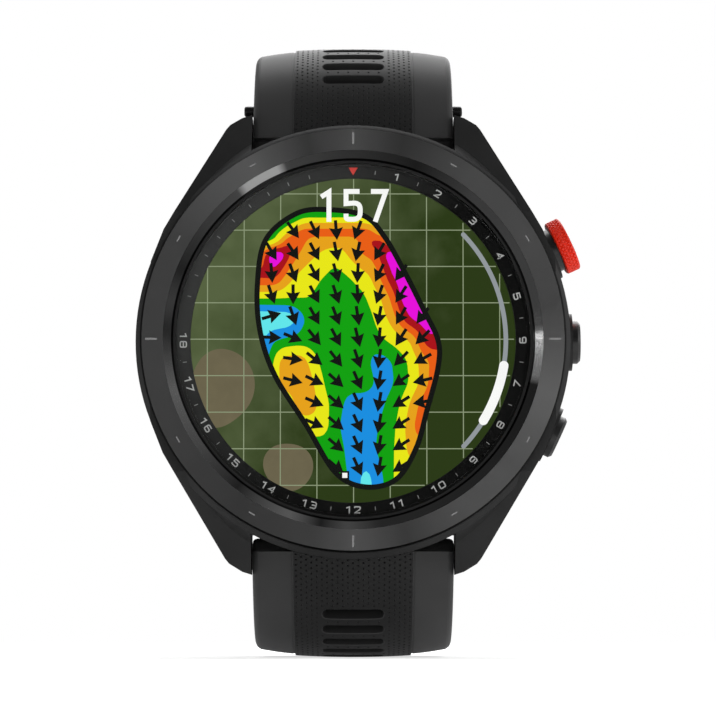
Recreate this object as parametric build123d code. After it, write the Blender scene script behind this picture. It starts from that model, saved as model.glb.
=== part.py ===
"""Golf GPS watch on a silicone strap, unbuckled and standing on its lower strap.

Millimetres. +X points to the pushers (3 o'clock), +Z to 12 o'clock, and the dial faces -Y.
The origin is the middle of the flat sensor window on the wrist side. Depths are counted
forwards from there, so a depth d lies at y = -d. Strap outlines are drawn as (y, s), where
s is the distance from the dial's centre line: z = s on the upper strap and -s on the lower.
"""
from build123d import *
import os
from math import acos, asin, cos, degrees, radians, sin, sqrt

# ---------------------------------------------------------------- driving dimensions
CASE_R = 23.8
CASE_BACK = 1.4
CASE_FRONT = 11.3
SKIRT_START = 10.72
BEZEL_R = 23.17
BEZEL_FACE_R = 20.65
BEZEL_FRONT = 13.9
LENS_BORE_R = 19.6
LENS_R = 19.3
LENS_BACK, LENS_FRONT = 12.25, 13.25
DISPLAY_R = 18.6
DISPLAY_BACK, DISPLAY_FRONT = 11.1, 12.0
CAVITY_R = 19.2
ANTENNA_BORE_R = 20.9
ANTENNA_FLOOR = 9.6
COVER_BORE_R = 20.0
COVER_SEAT = 2.4
WINDOW_R = 7.9
SCREW_CIRCLE_R = 18.0
SCREW_ANGLES = (45, 135, 225, 315)
SOCKET_Z = -14.2
VENT_FACE, VENT_BACK = 23.6, 22.75

LUG_ANGLE = 30.5
LUG_SIDE_R = 24.1
LUG_TIP = [(14.05, 23.7), (13.6, 24.25), (12.3, 25.05)]
LUG_REACH = 25.4
LUG_INNER_X = 11.2
LUG_SLOPE = 0.35
LUG_SLOPE_Z, LUG_SLOPE_DEPTH = 16.5, 10.5
POCKET_Z = 21.0
POCKET_FRONT = 9.0
BAR_DEPTH, BAR_Z = 3.2, 22.9

PUSHER_DEPTH = 7.0
PUSHER_TRAVEL = 0.5
PUSHERS = {"action": 25.1, "menu": 0.4, "back": -24.8}
BOSS_R, BOSS_TOP = 3.15, 24.1
COUNTERBORE_FLOOR = 22.3
STEM_R, STEM_HEAD = 0.9, 23.25
RING_R, RING_START, RING_END = 3.05, 24.75, 26.35
INSERT_R, INSERT_TOP = 2.35, 26.7
CAP_R, CAP_TOP = 2.38, 25.0
BUSHING_R = 1.5
RUNNING = 0.05
INSERT_DOME_R = 8.0

STRAP_W = 22.0
STRAP_T = 2.8
STRAP_REACH = 34.5
ROOT_Y, ROOT_S = 4.0, 20.0
ROOT_AXIS_Y = 12.2
ROOT_AXIS_S = STRAP_REACH - ROOT_S
ROOT_INNER_S = 7.75
BARREL_R = 1.55
BEND_R = 18.0
UPPER_BEND_Y = 28.0
LOWER_BEND_Y = 48.0
INSERT_DEPTH, INSERT_Z = 2.6, 26.45
KNOB_R, KNOB_LENGTH = 0.62, 1.15
BAR_TUBE_R, BAR_TUBE_HALF = 0.95, 10.9
BAR_TIP_R, BAR_TIP_END = 0.6, 12.8
TAIL_TOP = 17.5
TAIL_CORNER = 6.5
SLOT_W, SLOT_H = 7.2, 1.4
SLOT_PITCH = 4.55
TOP_SLOT_Z = 9.8
SLOT_COUNT = 6

BUCKLE_Y = UPPER_BEND_Y + BEND_R - STRAP_T / 2
BUCKLE_Z = -3.0
BUCKLE_PIN_R = 0.85
BUCKLE_BAR_Z = -13.0
BUCKLE_INNER_W, BUCKLE_OUTER_W = 22.9, 27.4
BUCKLE_T = 2.4
TANG_W = 6.0
KEEPER_WALL, KEEPER_H = 1.3, 4.5
KEEPER_ROOM = 6.3
FIXED_KEEPER_Z, FREE_KEEPER_Z = 3.5, 11.5

SECTION = Plane(origin=(0, 0, 0), x_dir=(1, 0, 0), z_dir=(0, 0, -1))


# ---------------------------------------------------------------- making shapes
def slab(sketch, back, front):
    """A sketch seen from the front, thickened between two depths."""
    return extrude(Plane.XZ.offset(back) * sketch, amount=front - back)


def disc(radius, back, front):
    return slab(Circle(radius), back, front)


def ring(outer, inner, back, front):
    return slab(Circle(outer) - Circle(inner), back, front)


def turned(*corners):
    """A solid of revolution about the dial's axis, from (radius, depth) corners."""
    return revolve(SECTION * Polygon(*corners, align=None), axis=Axis.Y)


def rod(radius, start, end, depth=PUSHER_DEPTH, height=0.0):
    """A round bar along X between two stations."""
    return extrude(Plane.YZ.offset(start) * Pos(-depth, height) * Circle(radius), amount=end - start)


def tube(outer, inner, start, end, depth=PUSHER_DEPTH, height=0.0):
    return rod(outer, start, end, depth, height) - rod(inner, start, end, depth, height)


def block(x, y, z):
    """A box from its three (low, high) pairs."""
    size = [high - low for low, high in (x, y, z)]
    middle = [(high + low) / 2 for low, high in (x, y, z)]
    return Pos(*middle) * Box(*size)


def at_clock(shape, angle):
    """Swings a piece drawn on the +X axis up to its angle round the case."""
    return shape.rotate(Axis.Y, -angle)


def both_sides(shape):
    return shape + mirror(shape, about=Plane.YZ)


def lower_side(shape):
    return mirror(shape, about=Plane.XY)


def across(outline, width):
    """A side outline, drawn as (y, z), thickened to a width centred on X = 0."""
    return extrude(Plane.YZ * outline, amount=width / 2, both=True)


# ---------------------------------------------------------------- case
def lug_quarter():
    """The lug at the upper right, under its sloping front and the skirt below the bezel."""
    side_start = Vector(LUG_SIDE_R, 0).rotate(Axis.Z, LUG_ANGLE)
    meets_case = Vector(CASE_R, 0).rotate(Axis.Z, LUG_ANGLE - degrees(acos(CASE_R / LUG_SIDE_R)))
    outline = Polygon(
        (LUG_INNER_X, 0), (meets_case.X, 0), (meets_case.X, meets_case.Y),
        (side_start.X, side_start.Y), *LUG_TIP, (LUG_INNER_X, LUG_REACH), align=None,
    )
    slope_top_z = LUG_SLOPE_Z - (CASE_FRONT - LUG_SLOPE_DEPTH) / LUG_SLOPE
    tip_depth = LUG_SLOPE_DEPTH - LUG_SLOPE * (LUG_REACH - LUG_SLOPE_Z)
    side = Polygon(
        (-CASE_BACK, 0), (-CASE_FRONT, 0), (-CASE_FRONT, slope_top_z),
        (-tip_depth, LUG_REACH), (-CASE_BACK - 1.6, LUG_REACH), (-CASE_BACK, LUG_REACH - 1.6),
        align=None,
    )
    under_slope = across(side, 2 * CASE_R)
    skirt = turned((0, 6.0), (24.7, 6.0), (24.7, 8.6), (BEZEL_R, CASE_FRONT), (0, CASE_FRONT))
    return slab(outline, CASE_BACK, CASE_FRONT) & (under_slope + skirt)


def case_body():
    shell = turned(
        (0, CASE_BACK), (22.3, CASE_BACK), (CASE_R, 2.6), (CASE_R, SKIRT_START),
        (BEZEL_R, CASE_FRONT), (0, CASE_FRONT),
    )
    pocket = block(
        (-LUG_INNER_X, LUG_INNER_X), (-POCKET_FRONT, 0), (POCKET_Z, LUG_REACH + 1)
    )
    shell -= pocket + lower_side(pocket)
    right = lug_quarter()
    right += lower_side(right)
    shell += both_sides(right)
    for angle in PUSHERS.values():
        shell += at_clock(rod(BOSS_R, CAVITY_R + 1, BOSS_TOP), angle)
    shell -= disc(CAVITY_R, CASE_BACK, CASE_FRONT)
    shell -= disc(ANTENNA_BORE_R, ANTENNA_FLOOR, CASE_FRONT)
    shell -= disc(COVER_BORE_R, CASE_BACK, COVER_SEAT)
    shell -= ring(22.2, 21.4, CASE_FRONT - 0.4, CASE_FRONT)
    for angle in SCREW_ANGLES:
        post = slab(Circle(1.6), COVER_SEAT, 8.2) - slab(Circle(0.75), COVER_SEAT, 6.0)
        shell += screw_place(angle) * post
    for angle in PUSHERS.values():
        shell -= at_clock(rod(BUSHING_R + 0.02, CAVITY_R - 1, COUNTERBORE_FLOOR + 0.1), angle)
        shell -= at_clock(rod(2.55, COUNTERBORE_FLOOR, CASE_R + 1.5), angle)
    hole = rod(BAR_TIP_R + RUNNING, LUG_INNER_X - 1, BAR_TIP_END + 0.2, BAR_DEPTH, BAR_Z)
    hole += lower_side(hole)
    shell -= both_sides(hole)
    return shell - rod(1.2, -CASE_R - 1, RUNNING - VENT_BACK, 6.0)


def screw_place(angle):
    return Pos(SCREW_CIRCLE_R * cos(radians(angle)), 0, SCREW_CIRCLE_R * sin(radians(angle)))


def bezel():
    body = turned(
        (18.8, CASE_FRONT), (BEZEL_R, CASE_FRONT), (BEZEL_R, BEZEL_FRONT - 0.18),
        (BEZEL_R - 0.18, BEZEL_FRONT), (BEZEL_FACE_R, BEZEL_FRONT), (LENS_BORE_R, 13.25),
        (LENS_BORE_R, DISPLAY_FRONT), (18.8, DISPLAY_FRONT),
    )
    for hour in range(12):
        if hour % 3:
            mark = Pos(0, 21.9) * Rectangle(0.76, 0.17)
        else:
            mark = Pos(0, 21.95) * Rectangle(0.25, 1.3)
        body -= slab(Rot(0, 0, 30 * hour) * mark, BEZEL_FRONT - 0.06, BEZEL_FRONT)
    return body


def display_bracket():
    window = Pos(0, 1.0) * RectangleRounded(20, 18, 3) + Pos(0, -17.5) * Rectangle(9, 5)
    return slab(Circle(19.1) - window, 10.3, 11.0)


def main_board():
    notch = Pos(0, -18.5) * Rectangle(8, 2)
    return slab(Circle(18.2) - notch, 8.6, 9.4)


def board_shields():
    left = slab(Pos(-6.5, 3) * RectangleRounded(11, 13, 0.6), 9.4, 10.2)
    right = slab(Pos(6.8, 4) * RectangleRounded(10, 10, 0.6), 9.4, 10.2)
    return left + right


def back_cover():
    cover = turned(
        (8.0, 0.8), (12.0, 0.8), (19.9, 1.3), (19.9, 2.1), (CAVITY_R, 2.1),
        (CAVITY_R, COVER_SEAT), (8.0, COVER_SEAT),
    )
    for angle in SCREW_ANGLES:
        cover -= screw_place(angle) * (disc(0.8, 0, COVER_SEAT) + disc(1.35, 0, 1.8))
    return cover - slab(Pos(0, SOCKET_Z) * RectangleRounded(7.7, 3.9, 1.25), 0, COVER_SEAT)


def back_screws():
    screw = disc(1.25, 1.15, 1.8) + disc(0.7, 1.8, 5.4) - slab(RegularPolygon(0.55, 6), 1.0, 1.5)
    return Compound([screw_place(angle) * screw for angle in SCREW_ANGLES])


def sensor_leds():
    spots = [(-2.6, 2.6), (2.6, 2.6), (-2.6, -2.6), (2.6, -2.6), (0, 4.9), (0, -4.9), (0, 0)]
    return Compound([slab(Pos(x, z) * Rectangle(1.6, 1.6), 2.3, 2.7) for x, z in spots])


def charging_socket():
    outside = slab(Pos(0, SOCKET_Z) * RectangleRounded(7.6, 3.8, 1.2), 0.95, 3.3)
    return outside - slab(Pos(0, SOCKET_Z) * RectangleRounded(6.2, 2.4, 0.8), 0.95, 2.3) - pins(0.32)


def pins(radius):
    stations = [-2.1, -0.7, 0.7, 2.1]
    return Compound([slab(Pos(x, SOCKET_Z) * Circle(radius), 1.5, 3.5) for x in stations])


def pressure_vent():
    vent = rod(1.15, -VENT_FACE, -VENT_BACK, 6.0)
    for angle in range(0, 360, 72):
        offset_y, offset_z = 0.6 * cos(radians(angle)), 0.6 * sin(radians(angle))
        vent -= rod(0.16, -VENT_FACE, -VENT_BACK, 6.0 - offset_y, offset_z)
    return vent


def head_parts():
    ledge = DISPLAY_FRONT + 0.02
    return {
        "case_body": case_body(),
        "bezel": bezel(),
        "bezel_gasket": ring(22.15, 21.45, CASE_FRONT - 0.38, CASE_FRONT),
        "lens": chamfer(disc(LENS_R, LENS_BACK, LENS_FRONT).faces().sort_by(Axis.Y)[0].edges(), 0.12),
        "lens_gasket": ring(LENS_BORE_R - 0.02, LENS_R + 0.02, ledge, 13.1),
        "hole_number_ring": ring(LENS_R, 17.75, ledge, LENS_BACK - 0.03),
        "display_panel": disc(DISPLAY_R, DISPLAY_BACK, DISPLAY_FRONT),
        "display_flex": slab(Pos(0, -17.1) * Rectangle(6, 0.2), 9.4, DISPLAY_BACK),
        "display_bracket": display_bracket(),
        "gnss_antenna": ring(20.7, 19.3, 9.7, 10.8),
        "main_board": main_board(),
        "board_shields": board_shields(),
        "battery": slab(RectangleRounded(23, 22, 1.5), 3.7, 8.2),
        "vibration_motor": slab(Pos(-15.3, 0) * Circle(3.2), 5.6, 8.2),
        "pressure_vent": pressure_vent(),
        "back_cover": back_cover(),
        "back_gasket": ring(19.85, 19.25, 2.12, COVER_SEAT),
        "back_screws": back_screws(),
        "sensor_window": turned((0, 0), (6.4, 0), (WINDOW_R, 0.9), (WINDOW_R, 2.2), (0, 2.2)),
        "sensor_board": disc(9.0, 2.7, 3.3),
        "sensor_leds": sensor_leds(),
        "charging_socket": charging_socket(),
        "charging_pins": pins(0.3),
    }


# ---------------------------------------------------------------- pushers
def pusher_stem(head_end):
    """The steel stem with its groove for the retaining clip, up to the cap it carries."""
    return rod(STEM_R, 18.4, head_end) - tube(STEM_R + 1, 0.7, 18.93, 19.17)


def return_spring():
    coil_r, wire_r, floor, turns = 1.7, 0.09, COUNTERBORE_FLOOR + 0.13, 1.25
    path = Helix(pitch=0.2, height=0.2 * turns, radius=coil_r)
    section = Plane(path @ 0, z_dir=path % 0) * Circle(wire_r)
    coil = sweep(section, path=path)
    return Pos(floor, -PUSHER_DEPTH, 0) * Rot(0, 90, 0) * coil


def retaining_clip():
    return tube(1.3, 0.72, 18.95, 19.15) - block((18.5, 19.5), (-7.35, -6.65), (0, 2))


def tact_switch():
    body = block((16.6, 17.7), (-PUSHER_DEPTH - 1.2, -PUSHER_DEPTH + 1.2), (-1.5, 1.5))
    return body + rod(0.55, 17.7, 17.85)


def round_cap(radius, start, end, edge):
    cap = rod(radius, start, end)
    return chamfer(cap.faces().sort_by(Axis.X)[-1].edges(), edge)


def action_insert():
    """The black insert with a shallow dome, standing through the knurled ring."""
    dome = Pos(INSERT_TOP - INSERT_DOME_R, -PUSHER_DEPTH, 0) * Sphere(INSERT_DOME_R)
    return rod(INSERT_R, RING_START + 0.2, INSERT_TOP) & dome


def action_ring():
    """The ring cap, with a chamfer each end and a diamond knurl left to the finish."""
    body = rod(RING_R, RING_START, RING_END)
    body = chamfer(body.faces().sort_by(Axis.X)[0].edges(), 0.22)
    body = chamfer(body.faces().sort_by(Axis.X)[-1].edges(), 0.22)
    return body - rod(INSERT_R + RUNNING, RING_START - 1, RING_END + 1)


def pusher_parts():
    drawn = {}
    for name in PUSHERS:
        drawn[name, "stem"] = pusher_stem(STEM_HEAD)
        drawn[name, "bushing"] = tube(BUSHING_R, STEM_R + RUNNING, 19.3, 21.6)
        drawn[name, "seal"] = tube(BUSHING_R, STEM_R + RUNNING, 21.65, 22.25)
        drawn[name, "spring"] = return_spring()
        drawn[name, "clip"] = retaining_clip()
        drawn[name, "switch"] = tact_switch()
    neck = rod(INSERT_R + 0.1, STEM_HEAD, RING_START)
    drawn["action", "stem"] += neck + rod(INSERT_R, RING_START, RING_START + 0.2)
    drawn["action", "ring"] = action_ring()
    drawn["action", "insert"] = action_insert()
    drawn["menu", "cap"] = round_cap(CAP_R, STEM_HEAD, CAP_TOP, 0.3)
    drawn["back", "cap"] = round_cap(CAP_R, STEM_HEAD, CAP_TOP, 0.3)
    return {
        f"{name}_{piece}": at_clock(shape, PUSHERS[name])
        for (name, piece), shape in drawn.items()
    }


# ---------------------------------------------------------------- straps
def root_outline():
    """The root's outer curve, from its reach to the case end, and its inner curve."""
    front_turn = degrees(asin((BAR_Z - ROOT_S) / ROOT_AXIS_S))
    outer = EllipticalCenterArc(
        (ROOT_Y, ROOT_S), ROOT_AXIS_Y, ROOT_AXIS_S, start_angle=90, arc_size=90 - front_turn
    )
    inner_y = -BAR_DEPTH + BARREL_R
    inner_start = STRAP_REACH - STRAP_T - ROOT_INNER_S
    inner = EllipticalCenterArc(
        (ROOT_Y, inner_start), ROOT_Y - inner_y, ROOT_INNER_S, start_angle=90, arc_size=90
    )
    return outer, inner


def strap_face(bend_y, far_s):
    """The side outline of one strap: root, straight run, bend and straight end, as (y, s)."""
    outer, inner = root_outline()
    inner_reach = STRAP_REACH - STRAP_T
    bar = (-BAR_DEPTH, BAR_Z)
    barrel_in = (bar[0] + BARREL_R, BAR_Z)
    barrel_out = (bar[0] - BARREL_R, BAR_Z)
    front = outer @ 1
    bend_s = STRAP_REACH - BEND_R
    inner_bend = BEND_R - STRAP_T
    diagonal = sqrt(0.5)
    outer_y, inner_y = bend_y + BEND_R, bend_y + inner_bend
    edges = [
        outer,
        Line(front, barrel_out),
        ThreePointArc(barrel_out, (bar[0], BAR_Z - BARREL_R), barrel_in),
        Line(barrel_in, inner @ 1),
        inner,
        Line((ROOT_Y, inner_reach), (bend_y, inner_reach)),
        ThreePointArc(
            (bend_y, inner_reach),
            (bend_y + inner_bend * diagonal, bend_s + inner_bend * diagonal),
            (inner_y, bend_s),
        ),
        Line((inner_y, bend_s), (inner_y, far_s)),
        Line((inner_y, far_s), (outer_y, far_s)),
        Line((outer_y, far_s), (outer_y, bend_s)),
        ThreePointArc(
            (outer_y, bend_s),
            (bend_y + BEND_R * diagonal, bend_s + BEND_R * diagonal),
            (bend_y, STRAP_REACH),
        ),
        Line((bend_y, STRAP_REACH), (ROOT_Y, STRAP_REACH)),
    ]
    return make_face(edges)


def bar_room():
    """The hole for the spring bar, and the window in which the release latch slides."""
    window = block((5.7, 9.8), (-BAR_DEPTH, 0), (BAR_Z - 0.7, BAR_Z + 0.7))
    return rod(1.0, -STRAP_W / 2, STRAP_W / 2, BAR_DEPTH, BAR_Z) + window


def upper_strap():
    strap = across(strap_face(UPPER_BEND_Y, BUCKLE_Z), STRAP_W)
    strap += rod(1.9, -STRAP_W / 2, STRAP_W / 2, -BUCKLE_Y, BUCKLE_Z)
    strap -= bar_room()
    strap -= rod(BUCKLE_PIN_R + 0.02, -STRAP_W, STRAP_W, -BUCKLE_Y, BUCKLE_Z)
    strap -= rod(0.5, -STRAP_W, STRAP_W, INSERT_DEPTH, INSERT_Z)
    room = TANG_W / 2 + 0.4
    return strap - block((-room, room), (BUCKLE_Y - 4, BUCKLE_Y + 4), (BUCKLE_Z - 3, BUCKLE_Z + 2.4))


def lower_strap():
    """Drawn as an upper strap, with the tang slots in its free end, then turned over."""
    strap = across(strap_face(LOWER_BEND_Y, -TAIL_TOP), STRAP_W)
    tail = strap.edges().filter_by(Axis.Y).sort_by(Axis.Z)[:2]
    strap = fillet(tail, TAIL_CORNER)
    strap -= bar_room()
    slot = Plane.XZ.offset(-80) * SlotOverall(SLOT_W, SLOT_H)
    for i in range(SLOT_COUNT):
        strap -= Pos(0, 0, SLOT_PITCH * i - TOP_SLOT_Z) * extrude(slot, amount=30)
    return lower_side(strap)


def spring_bar():
    """The tube with one fixed tip; the other end is bored and slotted for the latch's pin."""
    bar = rod(BAR_TUBE_R, -BAR_TUBE_HALF, BAR_TUBE_HALF, BAR_DEPTH, BAR_Z)
    bar += rod(BAR_TIP_R, -BAR_TIP_END, -BAR_TUBE_HALF, BAR_DEPTH, BAR_Z)
    bar -= rod(BAR_TIP_R + RUNNING, 5.4, BAR_TUBE_HALF + 1, BAR_DEPTH, BAR_Z)
    return bar - block((5.9, 9.6), (-BAR_DEPTH, 0), (BAR_Z - 0.55, BAR_Z + 0.55))


def release_latch():
    """The sliding pin and the thumb lever that draws it out of the lug."""
    latch = rod(BAR_TIP_R, 7.4, BAR_TIP_END, BAR_DEPTH, BAR_Z)
    latch += block((8.0, 9.2), (-BAR_DEPTH, -1.5), (BAR_Z - 0.4, BAR_Z + 0.4))
    return latch + block((7.6, 9.6), (-1.6, -1.0), (BAR_Z - 0.6, BAR_Z + 0.6))


def end_insert():
    """The stiffening rod moulded across the root, with a rounded knob at each side."""
    half = STRAP_W / 2 + RUNNING
    knob = rod(KNOB_R, half, half + KNOB_LENGTH, INSERT_DEPTH, INSERT_Z)
    knob = fillet(knob.faces().sort_by(Axis.X)[-1].edges(), KNOB_R / 2)
    return rod(0.48, -half, half, INSERT_DEPTH, INSERT_Z) + both_sides(knob)


def buckle_frame():
    outer = Pos(0, (BUCKLE_Z + BUCKLE_BAR_Z) / 2) * Rectangle(BUCKLE_OUTER_W, BUCKLE_Z - BUCKLE_BAR_Z + 3.4)
    outer = fillet(outer.vertices().group_by(Axis.Y)[0], 3.4)
    inner_low = BUCKLE_BAR_Z + 1.2
    inner = Rectangle(BUCKLE_INNER_W, 20, align=(Align.CENTER, Align.MIN))
    outline = outer - Pos(0, inner_low) * fillet(inner.vertices().group_by(Axis.Y)[0], 1.6)
    frame = slab(outline, -BUCKLE_Y - BUCKLE_T / 2, -BUCKLE_Y + BUCKLE_T / 2)
    return frame - rod(BUCKLE_PIN_R + RUNNING, -20, 20, -BUCKLE_Y, BUCKLE_Z)


def buckle_tang():
    outside = BUCKLE_Y + BUCKLE_T / 2
    blade = Polygon(
        (BUCKLE_Y + 0.95, BUCKLE_Z), (BUCKLE_Y + 1.7, BUCKLE_Z), (outside + 1.2, BUCKLE_BAR_Z + 1.5),
        (outside + 1.0, BUCKLE_BAR_Z - 2.0), (outside + 0.2, BUCKLE_BAR_Z - 2.0),
        (outside + 0.15, BUCKLE_BAR_Z + 1.5), align=None,
    )
    tang = across(blade, TANG_W) + rod(1.7, -TANG_W / 2, TANG_W / 2, -BUCKLE_Y, BUCKLE_Z)
    return tang - rod(BUCKLE_PIN_R + RUNNING, -TANG_W, TANG_W, -BUCKLE_Y, BUCKLE_Z)


def keeper(height, gap):
    """A rubber loop round the strap with room for the other strap's free end."""
    inner_y = BUCKLE_Y - STRAP_T / 2 - gap
    inner_w = STRAP_W + 2 * gap
    place = Pos(0, inner_y + KEEPER_ROOM / 2, height)
    outside = Box(inner_w + 2 * KEEPER_WALL, KEEPER_ROOM + 2 * KEEPER_WALL, KEEPER_H)
    outside = fillet(outside.edges().filter_by(Axis.Z), 1.2)
    return place * (outside - Box(inner_w, KEEPER_ROOM, KEEPER_H))


def strap_parts():
    return {
        "upper_strap": upper_strap(),
        "upper_spring_bar": spring_bar(),
        "upper_latch": release_latch(),
        "upper_end_insert": end_insert(),
        "lower_strap": lower_strap(),
        "lower_spring_bar": lower_side(spring_bar()),
        "lower_latch": lower_side(release_latch()),
        "buckle_pin": rod(BUCKLE_PIN_R, -BUCKLE_OUTER_W / 2, BUCKLE_OUTER_W / 2, -BUCKLE_Y, BUCKLE_Z),
        "buckle_frame": buckle_frame(),
        "buckle_tang": buckle_tang(),
        "fixed_keeper": keeper(FIXED_KEEPER_Z, 0.0),
        "free_keeper": keeper(FREE_KEEPER_Z, 0.4),
    }


# ---------------------------------------------------------------- writing
def write(parts):
    os.makedirs("parts", exist_ok=True)
    for name, shape in parts.items():
        export_step(shape, f"parts/{name}.step")


write(head_parts() | pusher_parts() | strap_parts())
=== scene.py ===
"""Looks of the golf GPS watch: finishes on its CAD pieces, and detailed meshes for the
silicone straps and keepers, the cover glass, the lit display, the hole ring's print and
the knurled pusher.

Blender works in metres. Shapes here are drawn in millimetres and scaled by MM at the end.
+X points to the pushers, +Z to 12 o'clock, and the dial faces -Y. A dial drawing is given
as (x, z) with a depth counted forwards from the wrist face, so depth d lies at y = -d.
"""
from math import atan2, cos, pi, radians, sin, sqrt, tanh
import bpy
import numpy as np
from mathutils import Matrix, Vector


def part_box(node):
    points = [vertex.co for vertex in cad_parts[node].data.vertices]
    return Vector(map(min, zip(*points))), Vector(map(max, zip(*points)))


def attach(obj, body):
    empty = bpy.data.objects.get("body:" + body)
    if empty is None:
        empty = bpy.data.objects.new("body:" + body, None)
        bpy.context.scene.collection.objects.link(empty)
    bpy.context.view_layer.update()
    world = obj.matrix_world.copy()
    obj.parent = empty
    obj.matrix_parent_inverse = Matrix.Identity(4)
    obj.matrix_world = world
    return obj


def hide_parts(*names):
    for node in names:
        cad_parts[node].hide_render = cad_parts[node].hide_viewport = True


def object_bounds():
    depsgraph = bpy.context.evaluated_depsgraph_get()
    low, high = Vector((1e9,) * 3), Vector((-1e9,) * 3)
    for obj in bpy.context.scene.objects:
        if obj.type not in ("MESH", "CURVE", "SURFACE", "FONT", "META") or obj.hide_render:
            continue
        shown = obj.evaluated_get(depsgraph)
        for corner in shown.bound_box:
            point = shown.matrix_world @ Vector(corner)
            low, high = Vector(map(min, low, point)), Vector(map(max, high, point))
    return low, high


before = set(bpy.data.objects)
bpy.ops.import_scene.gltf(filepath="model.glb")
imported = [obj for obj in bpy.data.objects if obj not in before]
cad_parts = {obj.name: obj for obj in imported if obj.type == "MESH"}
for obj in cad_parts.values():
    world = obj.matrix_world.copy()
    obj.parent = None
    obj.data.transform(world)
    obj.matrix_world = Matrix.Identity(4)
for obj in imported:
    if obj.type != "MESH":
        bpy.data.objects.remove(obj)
cad_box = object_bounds()
MM = 0.001

# Sizes in millimetres. Depths count forwards from the wrist face.
BEZEL_BORE_R, CHAMFER_R, BEZEL_FACE_R = 19.8, 20.66, 22.96
MARK_R, LONG_MARK_R = 21.9, 21.95
MARK_BACK, MARK_FRONT = 13.845, 13.885
RING_DEPTH = 12.22
PRINT_DEPTH = RING_DEPTH + 0.012
RING_TEXT_R = 18.5

SCREEN_R, SCREEN = 17.72, 12.004
LAYER = 0.02
PICTURE_SHIFT = -0.15
GRID_PITCH, GRID_X, GRID_Z = 3.985, 0.2, 0.11
GRID_LINE, GRID_GAP = 0.11, 0.03
BAR_R = 16.8
BALL = (-0.75, -14.75)

# The straps' side outlines are (y, s): z is s on the upper strap and -s on the lower one.
REACH, THICK = 34.5, 2.8
HALF_WIDTH = 11.0
ROOT_CENTRE, ROOT_AXES, ROOT_START = (4.0, 20.0), (12.2, 14.5), 11.54
INNER_ROOT_AXES = (5.65, 7.75)
BAR_Y, BAR_S, BARREL_R = -3.2, 22.9, 1.55
BEND_R = 18.0
UPPER_BEND_Y, LOWER_BEND_Y = 28.0, 48.0
UPPER_END_S, LOWER_END_S = -0.6, -17.5
TAIL_CORNER = 6.5
ROOT_WIDER, RUN_NARROWER = 1.012, 0.996

# The band: a pit is one column wide and two half rows long. A slot's ends are counted in
# columns and its rows in half rows; UPPER_SLOTS, FIRST_HOLE and PLAIN_ROWS are counts.
HALF_ROW, COLUMN, COLUMNS = 0.325, 0.566, 23
BAND_HALF = COLUMN * COLUMNS / 2
PIT_DEPTH = 0.2
SLOT_FIRST, SLOT_LAST = 5, 18
SLOT_ROWS, SLOT_STEP = 5, 7
SLOT_START = -10.6
UPPER_SLOTS, FIRST_HOLE, PLAIN_ROWS = 9, 38, 20
SLOT_R, SLOT_STRAIGHT, SLOT_DEPTH = 0.70, 2.78, 1.25
SLOT_EDGE = 0.06

KEEPER_WALL = 1.3
ACTION_ANGLE = 25.1
PUSHER_DEPTH = 7.0
RED_START, RED_END, RED_R, RED_BORE_R = 24.75, 26.35, 3.05, 2.4
KNURL_STARTS, KNURL_PITCH, KNURL_CUT = 36, 0.6, 0.12
EDGE_WIDTHS = {
    "case_body": 0.22, "back_cover": 0.2, "buckle_frame": 0.3, "buckle_tang": 0.25,
    "menu_cap": 0.12, "back_cap": 0.12, "action_insert": 0.1,
}


# ================================================================ small tools
def srgb(red, green, blue):
    """A colour given as screen values from 0 to 255, as the linear one that shaders take."""
    def linear(value):
        share = value / 255
        return share / 12.92 if share < 0.04045 else ((share + 0.055) / 1.055) ** 2.4
    return (linear(red), linear(green), linear(blue), 1.0)


def mesh_object(name, points, faces, material, body, smooth=False):
    """A mesh piece from points in millimetres, riding on its body."""
    mesh = bpy.data.meshes.new(name)
    scaled = [tuple(MM * float(c) for c in p) for p in points]
    mesh.from_pydata(scaled, [], [tuple(int(i) for i in f) for f in faces])
    mesh.validate()
    piece = bpy.data.objects.new(name, mesh)
    bpy.context.scene.collection.objects.link(piece)
    if material:
        mesh.materials.append(material)
    if smooth:
        mesh.polygons.foreach_set("use_smooth", [True] * len(mesh.polygons))
    if body:
        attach(piece, body)
    return piece


class Drawing:
    """Collects points and faces, so that many small shapes become one piece."""

    def __init__(self):
        self.points, self.faces = [], []

    def add(self, points, faces):
        start = len(self.points)
        self.points += list(points)
        self.faces += [[start + i for i in face] for face in faces]

    def flat(self, outline, depth):
        """A filled outline of (x, z) on the dial, facing forwards."""
        self.add([(x, -depth, z) for x, z in outline], [range(len(outline))])

    def inlay(self, outline, back, front):
        """A filled outline with a little thickness, so that it's a closed solid."""
        count = len(outline)
        points = [(x, -front, z) for x, z in outline] + [(x, -back, z) for x, z in outline]
        sides = [(i, i + count, (i + 1) % count + count, (i + 1) % count) for i in range(count)]
        self.add(points, [list(range(count)), list(range(2 * count - 1, count - 1, -1))] + sides)

    def piece(self, name, material, body="head", smooth=False):
        return mesh_object(name, self.points, self.faces, material, body, smooth)


def at_clock(radius, angle):
    """The (x, z) of a place on the dial, its angle clockwise from 12 o'clock."""
    return (radius * sin(radians(angle)), radius * cos(radians(angle)))


def turned_outline(outline, angle, radius):
    """An outline drawn about the origin, moved out to a radius and turned to a dial angle."""
    s, c = sin(radians(angle)), cos(radians(angle))
    return [(x * c + (z + radius) * s, (z + radius) * c - x * s) for x, z in outline]


def oblong(width, height, x=0.0, z=0.0):
    """An upright rectangle about (x, z)."""
    corners = ((-1, -1), (1, -1), (1, 1), (-1, 1))
    return [(x + across * width / 2, z + up * height / 2) for across, up in corners]


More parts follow.
